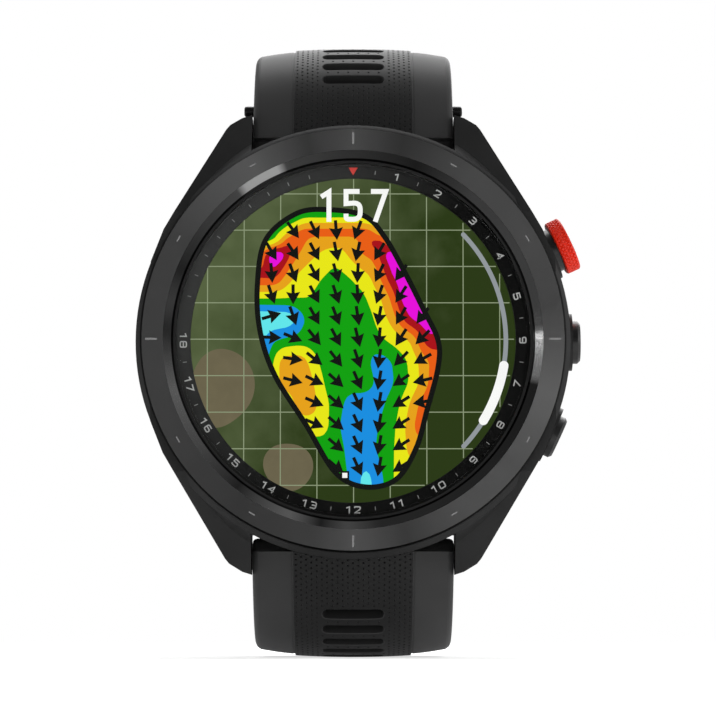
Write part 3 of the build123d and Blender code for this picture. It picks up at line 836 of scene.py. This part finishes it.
def fall_line(x, z):
    """The way a ball would roll: down the green, and in from both sides lower down."""
    high = max(z - 1.0, 0.0)
    valley = 2.6 - 0.35 * high
    reach = 7.0 - 0.3 * high if x < valley else 3.6
    strength = min(1.0, max(0.45, 0.42 + 0.085 * (2.0 - z)))
    angle = 90 * strength * tanh((valley - x) / reach)
    angle += 85 * hill(x, z, -9.0, 2.0, 1.3, 2.0) - 38 * hill(x, z, -9.0, 6.5, 2.2, 2.6)
    angle += 35 * hill(x, z, -6.4, -0.8, 1.3, 1.9) - 30 * hill(x, z, -6.4, 4.4, 1.3, 2.4)
    return np.array([sin(radians(angle)), -cos(radians(angle))])


def slope_map(loop):
    """The coloured green: rings of points shrinking from the outline to its middle."""
    middle = loop.mean(axis=0)
    rings, around = 64, len(loop)
    shares = np.linspace(1.0, 0.0, rings + 1)[:-1]
    flat = np.vstack([middle + share * (loop - middle) for share in shares] + [middle[None]])
    faces = [
        (ring * around + i, ring * around + (i + 1) % around,
         (ring + 1) * around + (i + 1) % around, (ring + 1) * around + i)
        for ring in range(rings - 1) for i in range(around)
    ]
    last = (rings - 1) * around
    faces += [(last + i, last + (i + 1) % around, len(flat) - 1) for i in range(around)]
    depth = SCREEN + 4 * LAYER
    points = [(x, -depth, z) for x, z in flat]
    piece = mesh_object("slope_map", points, faces, finish["slope"], "head")
    values = np.clip(steepness(flat[:, 0], flat[:, 1]) / TOP_LEVEL, 0, 1)
    attribute = piece.data.attributes.new("slope", "FLOAT", "POINT")
    attribute.data.foreach_set("value", values.astype(np.float32))
    return piece


def slope_outline(loop):
    """The black line round the green."""
    inner, outer = band_between(loop, 0.29, 0.29)
    count = len(loop)
    depth = SCREEN + 5 * LAYER
    points = [(x, -depth, z) for x, z in np.vstack([inner, outer])]
    faces = [(i, (i + 1) % count, (i + 1) % count + count, i + count) for i in range(count)]
    return mesh_object("slope_outline", points, faces, finish["black_line"], "head")


def inside_loop(loop, x, z):
    """True where a place lies inside a closed loop, by counting crossings."""
    crossings = 0
    for (ax, az), (bx, bz) in zip(loop, np.roll(loop, -1, axis=0)):
        if (az > z) != (bz > z) and x < ax + (z - az) * (bx - ax) / (bz - az):
            crossings += 1
    return crossings % 2 == 1


def slope_arrows(loop):
    """An arrow at each step of a square grid inside the green, pointing down the slope."""
    pitch, length, head, head_w, shaft_w, margin = 2.35, 2.2, 1.25, 1.56, 0.36, 0.42
    inner, _ = band_between(loop, margin, 0.0)
    arrows = Drawing()
    for row in range(-7, 7):
        for column in range(-5, 5):
            x, z = 0.65 + pitch * column, 0.3 + pitch * row
            if not inside_loop(inner, x, z):
                continue
            ahead = fall_line(x, z)
            side = np.array([-ahead[1], ahead[0]])
            centre = np.array([x, z])
            tip, neck = centre + ahead * length / 2, centre + ahead * (length / 2 - head)
            barb = neck - ahead * 0.14
            tail = centre - ahead * length / 2
            outline = [
                tail - side * shaft_w / 2, neck - side * shaft_w / 2, barb - side * head_w / 2,
                tip, barb + side * head_w / 2, neck + side * shaft_w / 2, tail + side * shaft_w / 2,
            ]
            arrows.flat([tuple(p) for p in outline], SCREEN + 6 * LAYER)
    return arrows.piece("slope_arrows", finish["black_line"])


def round_spot(x, z, wide, tall, wobble, seed):
    """A sand bunker's outline: an oval whose radius wanders a little."""
    phase = np.random.default_rng(seed).uniform(0, 2 * pi, 3)
    outline = []
    for i in range(96):
        t = 2 * pi * i / 96
        swell = 1 + wobble * (sin(2 * t + phase[0]) + 0.6 * sin(3 * t + phase[1]))
        outline.append((x + wide * swell * cos(t), z + tall * swell * sin(t)))
    return outline


def clipped_to_screen(outline):
    """Pulls points that would leave the screen back to its edge."""
    edge, clipped = SCREEN_R - 0.02, []
    for x, z in outline:
        share = min(1, edge / max(1e-6, sqrt(x * x + z * z)))
        clipped.append((x * share, z * share))
    return clipped


def display_land():
    """The course seen from above, which fills the screen; gives back its sand bunkers."""
    land = Drawing()
    land.flat([at_clock(SCREEN_R, -i) for i in range(0, 360, 2)], SCREEN)
    land.piece("display_land", finish["land"])
    sand = Drawing()
    sand.flat(clipped_to_screen(round_spot(-14.2, -5.2, 3.4, 4.4, 0.06, 3)), SCREEN + LAYER)
    sand.flat(round_spot(-6.9, -13.8, 2.6, 2.7, 0.05, 8), SCREEN + LAYER)
    return sand.piece("display_bunkers", finish["bunker"])


def display_grid():
    """Upright and level lines across the screen, the upright ones just in front."""
    lines, depth = Drawing(), SCREEN + 2 * LAYER
    for i in range(-4, 5):
        x, z = GRID_X + GRID_PITCH * i, GRID_Z + GRID_PITCH * i
        across, up = (2 * (sqrt(SCREEN_R ** 2 - place ** 2) - GRID_GAP) for place in (z, x))
        lines.flat(oblong(GRID_LINE, up, x, 0.0), depth + 0.004)
        lines.flat(oblong(across, GRID_LINE, 0.0, z), depth)
    return lines.piece("display_grid", finish["grid"])


def arc_stroke(drawing, radius, start, end, width, depth):
    """A stroke along a dial arc with round ends."""
    steps = int((end - start) * 1.5)
    sweep = [start + (end - start) * i / steps for i in range(steps + 1)]
    cap = [i * pi / 12 for i in range(1, 12)]
    outer = [at_clock(radius + width / 2, a) for a in sweep]
    inner = [at_clock(radius - width / 2, a) for a in reversed(sweep)]

    def end_cap(angle, side):
        centre, reach = np.array(at_clock(radius, angle)), width / 2
        out = np.array(at_clock(1, angle))
        along = side * np.array(at_clock(1, angle + 90))
        return [tuple(centre + reach * (out * cos(t) * side + along * sin(t))) for t in cap]

    outline = outer + end_cap(end, 1) + inner + end_cap(start, -1)
    drawing.flat(outline[::-1], depth)


def display_controls():
    """The distance in figures, the scroll bar on the right and the ball marker."""
    bar = Drawing()
    arc_stroke(bar, BAR_R, 46.5, 133.6, 0.5, SCREEN + 6 * LAYER)
    white = Drawing()
    arc_stroke(white, BAR_R, 99.5, 121.5, 1.0, SCREEN + 7 * LAYER)
    for points, faces in figures("157", 1.55, 3.06, 1.25, 0.53, 0.8):
        white.add([(x + 0.15, -SCREEN - 8 * LAYER, z + 14.78) for x, z in points], faces)
    white.flat(oblong(0.55, 0.55, *BALL), SCREEN + 8 * LAYER)
    border = Drawing()
    border.flat(oblong(0.95, 0.95, *BALL), SCREEN + 7 * LAYER)
    return [
        bar.piece("scroll_bar", finish["grey_arc"]),
        white.piece("display_figures", finish["white"]),
        border.piece("ball_marker_border", finish["black_line"]),
    ]


def make_display():
    """The lit picture, all of it but the land shifted a little to the left."""
    loop = smooth_loop(GREEN_EDGE, 10)
    picture = [display_land(), display_grid(), slope_map(loop), slope_outline(loop), slope_arrows(loop)]
    for piece in picture + display_controls():
        piece.data.transform(Matrix.Translation((PICTURE_SHIFT * MM, 0, 0)))


make_display()


# ================================================================ straps
def arc_points(centre, axes, start, end, count):
    """Points on an oval arc; 0 degrees is its front end and 90 its outer side."""
    turn = np.radians(np.linspace(start, end, count))
    return np.stack([centre[0] - axes[0] * np.cos(turn), centre[1] + axes[1] * np.sin(turn)], axis=1)


def along(points, places):
    """Points at given distances along a line of points, and the whole length."""
    steps = np.linalg.norm(np.diff(points, axis=0), axis=1)
    keep = np.concatenate([[True], steps > 1e-9])
    points = points[keep]
    reach = np.concatenate([[0], np.cumsum(np.linalg.norm(np.diff(points, axis=0), axis=1))])
    places = np.asarray(places) * reach[-1]
    return np.stack([np.interp(places, reach, points[:, k]) for k in (0, 1)], axis=1), reach[-1]


def strap_lines(bend_y, end_s):
    """Outer and inner side outlines, with one pair of points for each half row of pits."""
    outer_root = arc_points(ROOT_CENTRE, ROOT_AXES, ROOT_START, 90, 400)
    inner_s = REACH - THICK
    barrel = np.array([
        (BAR_Y - BARREL_R * cos(t), BAR_S - BARREL_R * sin(t)) for t in np.linspace(0, pi, 80)
    ])
    rise_centre = (ROOT_CENTRE[0], inner_s - INNER_ROOT_AXES[1])
    inner_rise = arc_points(rise_centre, INNER_ROOT_AXES, 0, 90, 200)
    inner_root = np.vstack([barrel, inner_rise])
    bend_s, tight = REACH - BEND_R, BEND_R - THICK
    runs = [
        (outer_root, inner_root),
        (np.array([(ROOT_CENTRE[0], REACH), (bend_y, REACH)]),
         np.array([(ROOT_CENTRE[0], inner_s), (bend_y, inner_s)])),
        (arc_points((bend_y, bend_s), (BEND_R, BEND_R), 90, 180, 200),
         arc_points((bend_y, bend_s), (tight, tight), 90, 180, 200)),
        (np.array([(bend_y + BEND_R, bend_s), (bend_y + BEND_R, end_s)]),
         np.array([(bend_y + tight, bend_s), (bend_y + tight, end_s)])),
    ]
    outer, inner, root_rows = [], [], 0
    for number, (out_line, in_line) in enumerate(runs):
        _, length = along(out_line, [0])
        rows = max(1, round(length / HALF_ROW))
        shares = np.linspace(0, 1, rows + 1)[(0 if number == 0 else 1):]
        outer.append(along(out_line, shares)[0])
        inner.append(along(in_line, shares)[0])
        root_rows = rows if number == 0 else root_rows
    return np.vstack(outer), np.vstack(inner), root_rows


def crown(x):
    """How far the outer face falls away from the middle of the strap at a distance x."""
    x = abs(x)
    if x <= BAND_HALF:
        return -0.2 * (x / BAND_HALF) ** 2
    share = (x - BAND_HALF) / (HALF_WIDTH - BAND_HALF)
    return -0.38 - 0.62 * share ** 1.4


def wing_profile():
    """The strap's side from the band's edge outwards and round to the inner face.

    Each entry is (x, drop from the outer line, 1 for the outer face or 0 for the inner).
    """
    profile = [(BAND_HALF + 0.02, -0.40, 1), (BAND_HALF + 0.14, -0.43, 1)]
    profile += [(x, crown(x), 1) for x in np.linspace(BAND_HALF + 0.3, 10.1, 8)]
    corner, drop = 0.9, crown(10.1)
    profile += [
        (10.1 + corner * sin(t), drop - corner * (1 - cos(t)) * 1.1, 1)
        for t in np.radians(np.linspace(18, 90, 6))
    ]
    profile += [(HALF_WIDTH, 0.75, 0)]
    profile += [
        (10.4 + 0.6 * cos(t), 0.6 - 0.6 * sin(t), 0) for t in np.radians(np.linspace(18, 90, 5))
    ]
    return profile + [(BAND_HALF + 1.5, 0.0, 0)]


def tail_scale(outer, end_s, radius):
    """How narrow each row is, so that the free end is rounded."""
    gap = np.abs(outer[:, 1] - end_s)
    gap = np.where(outer[:, 0] > 40, gap, 99)
    inside = np.clip(radius - gap, 0, radius)
    return 1 - (radius - np.sqrt(radius ** 2 - inside ** 2)) / HALF_WIDTH


class StrapMesh:
    """Builds one strap: a pitted, slotted band, smooth wings, and a plain inner face."""

    def __init__(self, outer, inner, scale, windows):
        self.outer, self.inner, self.scale, self.windows = outer, inner, scale, windows
        self.rows = len(outer)
        gap = outer - inner
        self.thick = np.linalg.norm(gap, axis=1)
        self.out = gap / self.thick[:, None]
        self.points, self.faces = [], []
        self.band_faces = []

    def at(self, x, row, rise, on_outer=True):
        """A point at a width and a half row; rise is measured outwards from that face."""
        low = int(min(max(np.floor(row), 0), self.rows - 2))
        share = row - low
        line = self.outer if on_outer else self.inner
        base = line[low] * (1 - share) + line[low + 1] * share
        out = self.out[low] * (1 - share) + self.out[low + 1] * share
        wide = self.scale[low] * (1 - share) + self.scale[low + 1] * share
        y, s = base + out * rise
        return (x * wide, y, s)

    def point(self, *place):
        self.points.append(place)
        return len(self.points) - 1

    def grid(self, on_outer):
        """Indices of the points on the band's column lines, for every half row."""
        lines = [COLUMN * c - BAND_HALF for c in range(COLUMNS + 1)]
        return [
            [self.point(*self.at(x, row, crown(x) if on_outer else 0.0, on_outer))
             for row in range(self.rows)]
            for x in lines
        ]

    def cut(self, column, row, on_outer):
        """The window, if any, that a half cell lies in."""
        if not SLOT_FIRST <= column < SLOT_LAST:
            return False
        return any(
            start <= row < start + SLOT_ROWS and (on_outer or through)
            for start, through in self.windows
        )

    def face(self, corners, on_outer, group=None):
        self.faces.append(list(corners) if on_outer else list(corners)[::-1])
        if group is not None:
            group.append(len(self.faces) - 1)

    def pit(self, grid, column, row):
        """One pitted cell: a hexagonal rim inside the cell's six edge points, and a cone."""
        left, right = grid[column], grid[column + 1]
        edge = [left[row], right[row], right[row + 1], right[row + 2], left[row + 2], left[row + 1]]
        middle = COLUMN * (column + 0.5) - BAND_HALF
        hexagon = ((-0.085, -0.36), (0.085, -0.36), (0.145, 0), (0.085, 0.36), (-0.085, 0.36), (-0.145, 0))
        rim = [self.point(*self.at(middle + x, row + 1 + r, crown(middle + x))) for x, r in hexagon]
        foot = self.point(*self.at(middle, row + 1, crown(middle) - PIT_DEPTH))
        for i in range(6):
            j = (i + 1) % 6
            self.face([edge[i], edge[j], rim[j], rim[i]], True, self.band_faces)
            self.face([rim[i], rim[j], foot], True, self.band_faces)

    def band(self, grid, on_outer):
        """The band's face, pitted in a honeycomb on the outside and open at its windows."""
        for column in range(COLUMNS):
            row = 0
            while row < self.rows - 1:
                here = self.cut(column, row, on_outer)
                odd_start = row == 0 and column % 2 == 1
                room = row + 2 < self.rows and (row + column) % 2 == 0 and not odd_start
                if on_outer and room and not here and not self.cut(column, row + 1, True):
                    self.pit(grid, column, row)
                    row += 2
                    continue
                if not here:
                    left, right = grid[column], grid[column + 1]
                    group = self.band_faces if on_outer else None
                    self.face([left[row], right[row], right[row + 1], left[row + 1]], on_outer, group)
                row += 1

    def window_loop(self, grid, start):
        """The points round a window's edge in the band, and their places in it."""
        end = start + SLOT_ROWS
        loop = [(c, start) for c in range(SLOT_FIRST, SLOT_LAST + 1)]
        loop += [(SLOT_LAST, row) for row in range(start + 1, end + 1)]
        loop += [(c, end) for c in range(SLOT_LAST - 1, SLOT_FIRST - 1, -1)]
        loop += [(SLOT_FIRST, row) for row in range(end - 1, start, -1)]
        return [grid[c][row] for c, row in loop], loop

    def stadium(self, column, row, start, shrink):
        """Where a window's edge point goes on the slot's round-ended outline."""
        half_w = COLUMN * (SLOT_LAST - SLOT_FIRST) / 2
        x = COLUMN * column - BAND_HALF
        r = (row - start) / SLOT_ROWS * 2 - 1
        radius = SLOT_R - shrink
        if abs(x) <= SLOT_STRAIGHT:
            return x, radius * (1 if r > 0 else -1)
        turn = atan2(r, (abs(x) - SLOT_STRAIGHT) / (half_w - SLOT_STRAIGHT))
        side = 1 if x > 0 else -1
        return side * (SLOT_STRAIGHT + radius * cos(turn)), radius * sin(turn)

    def ring_at(self, loop, start, shrink, rise, on_outer):
        """A slot's outline at one depth below the face."""
        middle = start + SLOT_ROWS / 2
        ring = []
        for column, row in loop:
            x, offset = self.stadium(column, row, start, shrink)
            base = crown(x) if on_outer else 0.0
            ring.append(self.point(*self.at(x, middle + offset / HALF_ROW, base + rise, on_outer)))
        return ring

    def bridge(self, first, second, on_outer=True, group=None):
        """Faces between two closed loops."""
        count = len(first)
        for i in range(count):
            j = (i + 1) % count
            self.face([first[i], first[j], second[j], second[i]], on_outer, group)

    def slot(self, outer_grid, inner_grid, start, through):
        """One cross slot: a blind groove, or a hole right through for the buckle's tang."""
        edge, loop = self.window_loop(outer_grid, start)
        lip = self.ring_at(loop, start, 0.0, 0.0, True)
        wall = self.ring_at(loop, start, SLOT_EDGE, -SLOT_EDGE, True)
        self.bridge(edge, lip, True, self.band_faces)
        self.bridge(lip, wall)
        if not through:
            # The slot's walls and floor take the band's darker finish: painted shade inside the slot.
            floor = self.ring_at(loop, start, SLOT_EDGE, -SLOT_DEPTH, True)
            self.bridge(wall, floor, True, self.band_faces)
            self.face(floor, True, self.band_faces)
            return
        back_edge, _ = self.window_loop(inner_grid, start)
        back_lip = self.ring_at(loop, start, 0.0, 0.0, False)
        back_wall = self.ring_at(loop, start, SLOT_EDGE, SLOT_EDGE, False)
        self.bridge(back_edge, back_lip, False)
        self.bridge(back_lip, back_wall, False)
        # The through slot's walls take the band's darker finish: painted shade inside it.
        self.bridge(wall, back_wall, True, self.band_faces)

    def wing(self, outer_line, inner_line, side):
        """The smooth side of the strap, from the band's edge round to the inner face."""
        profile = wing_profile()
        columns = [outer_line]
        for x, rise, on_outer in profile:
            columns.append([
                self.point(*self.at(side * x, row, rise, on_outer == 1)) for row in range(self.rows)
            ])
        columns.append(inner_line)
        for first, second in zip(columns, columns[1:]):
            for row in range(self.rows - 1):
                self.face([first[row], second[row], second[row + 1], first[row + 1]], side > 0)
        return columns

    def cap(self, outer_grid, inner_grid, wings, row, front):
        """Closes an end of the strap with one face."""
        ring = [line[row] for line in outer_grid]
        ring += [line[row] for line in wings[1][1:]]
        ring += [line[row] for line in reversed(inner_grid)][1:]
        ring += [line[row] for line in reversed(wings[0])][1:-1]
        self.face(ring, not front)

    def build(self):
        outer_grid, inner_grid = self.grid(True), self.grid(False)
        self.band(outer_grid, True)
        self.band(inner_grid, False)
        for start, through in self.windows:
            self.slot(outer_grid, inner_grid, start, through)
        wings = [
            self.wing(outer_grid[0], inner_grid[0], -1),
            self.wing(outer_grid[-1], inner_grid[-1], 1),
        ]
        self.cap(outer_grid, inner_grid, wings, 0, True)
        self.cap(outer_grid, inner_grid, wings, self.rows - 1, False)


def strap_windows(root_rows, rows, lower):
    """Slots from the first one on the root's curve; on the lower strap on to the tail.

    Each is its first half row, and whether it goes right through, as every second one
    does near the tail.
    """
    first = root_rows + round(SLOT_START / HALF_ROW) - SLOT_ROWS // 2
    last = rows - PLAIN_ROWS - SLOT_ROWS if lower else first + UPPER_SLOTS * SLOT_STEP
    return [
        (row, lower and number >= FIRST_HOLE and number % 2 == 0)
        for number, row in enumerate(range(first, last, SLOT_STEP))
    ]


def make_strap(name, bend_y, end_s, lower):
    """One strap in two finishes, the band's and the plain silicone's, for its CAD solid; the band's darker
    finish also lines the slots as painted shade.
    """
    outer, inner, root_rows = strap_lines(bend_y, end_s)
    scale = np.interp(np.arange(len(outer)), (0, root_rows), (ROOT_WIDER, RUN_NARROWER))
    if lower:
        scale = scale * tail_scale(outer, end_s, TAIL_CORNER)
    strap = StrapMesh(outer, inner, scale, strap_windows(root_rows, len(outer), lower))
    strap.build()
    flip = -1 if lower else 1
    points = [(x, y, flip * s) for x, y, s in strap.points]
    faces = [f[::-1] for f in strap.faces] if lower else strap.faces
    piece = mesh_object(name, points, faces, finish["silicone"], name)
    piece.data.materials.append(finish["band"])
    slots = np.zeros(len(faces), dtype=np.int32)
    slots[strap.band_faces] = 1
    piece.data.polygons.foreach_set("material_index", slots)
    piece.name = name + "_silicone"
    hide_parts(name)


make_strap("upper_strap", UPPER_BEND_Y, UPPER_END_S, False)
make_strap("lower_strap", LOWER_BEND_Y, LOWER_END_S, True)


# ================================================================ keepers, pusher, edges
def rounded_room(half_x, half_y, radius, steps=8):
    """Stations round a rectangle with round corners: (x, y, way out x, way out y)."""
    stations = []
    for start, sx, sy in ((0, 1, 1), (90, -1, 1), (180, -1, -1), (270, 1, -1)):
        for i in range(steps + 1):
            turn = radians(start + 90 * i / steps)
            out = (cos(turn), sin(turn))
            stations.append((
                sx * (half_x - radius) + radius * out[0], sy * (half_y - radius) + radius * out[1], *out,
            ))
    return stations


def make_keeper(name, body):
    """A soft rubber loop: its wall slightly crowned, all its edges moulded round."""
    low, high = (np.array(corner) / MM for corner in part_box(name))
    middle, half = (low + high) / 2, (high - low) / 2
    edge = KEEPER_WALL / 2
    stations = rounded_room(half[0] - edge, half[1] - edge, 1.2)
    section = soft_edges([
        (-edge, -half[2]), (edge - 0.1, -half[2]), (edge, 0), (edge - 0.1, half[2]), (-edge, half[2]),
    ], 0.35)
    points = [
        (middle[0] + x + out_x * t, middle[1] + y + out_y * t, middle[2] + z)
        for x, y, out_x, out_y in stations for t, z in section
    ]
    faces = [face[::-1] for face in wrapped_faces(len(stations), len(section))]
    piece = mesh_object(name + "_loop", points, faces, finish["silicone"], body, smooth=True)
    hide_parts(name)


def knurl(turn, x):
    """How deep two crossing families of fine grooves cut at a place on the ring."""
    cuts = []
    for hand in (-1, 1):
        phase = (KNURL_STARTS * turn / (2 * pi) + hand * x / KNURL_PITCH) % 1
        cuts.append(max(0.0, 1 - abs(phase - 0.5) / 0.2))
    return KNURL_CUT * max(cuts)


def make_knurled_ring():
    """The red ring: crossed grooves round its side between two plain, broken edges."""
    tilt, around = radians(ACTION_ANGLE), KNURL_STARTS * 6
    side = np.linspace(RED_START + 0.16, RED_END - 0.16, 15)
    stations = [(RED_START, RED_BORE_R), (RED_START, RED_R - 0.15), (RED_START + 0.1, RED_R - 0.03)]
    stations += [(x, RED_R) for x in side]
    stations += [(RED_END - 0.1, RED_R - 0.03), (RED_END, RED_R - 0.15), (RED_END, RED_BORE_R)]
    points = []
    for x, r in stations:
        cutting = r == RED_R and side[0] < x < side[-1]
        for i in range(around):
            turn = 2 * pi * i / around
            reach = r - (knurl(turn, x) if cutting else 0.0)
            across, up = reach * cos(turn), reach * sin(turn)
            points.append((
                x * cos(tilt) - up * sin(tilt), -PUSHER_DEPTH - across, x * sin(tilt) + up * cos(tilt),
            ))
    faces = wrapped_faces(len(stations), around)
    ring = mesh_object("action_knurled_ring", points, faces, finish["red"], "action_pusher")
    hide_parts("action_ring")


def soften_edges():
    """Breaks the sharp edges of hard parts, so that they catch a thin line of light."""
    for name, width in EDGE_WIDTHS.items():
        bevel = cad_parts[name].modifiers.new("broken_edges", "BEVEL")
        bevel.width, bevel.segments = width * MM, 2
        bevel.limit_method, bevel.angle_limit = "ANGLE", radians(40)
        bevel.use_clamp_overlap = True


make_keeper("fixed_keeper", "upper_strap")
make_keeper("free_keeper", "free_keeper")
make_knurled_ring()
soften_edges()
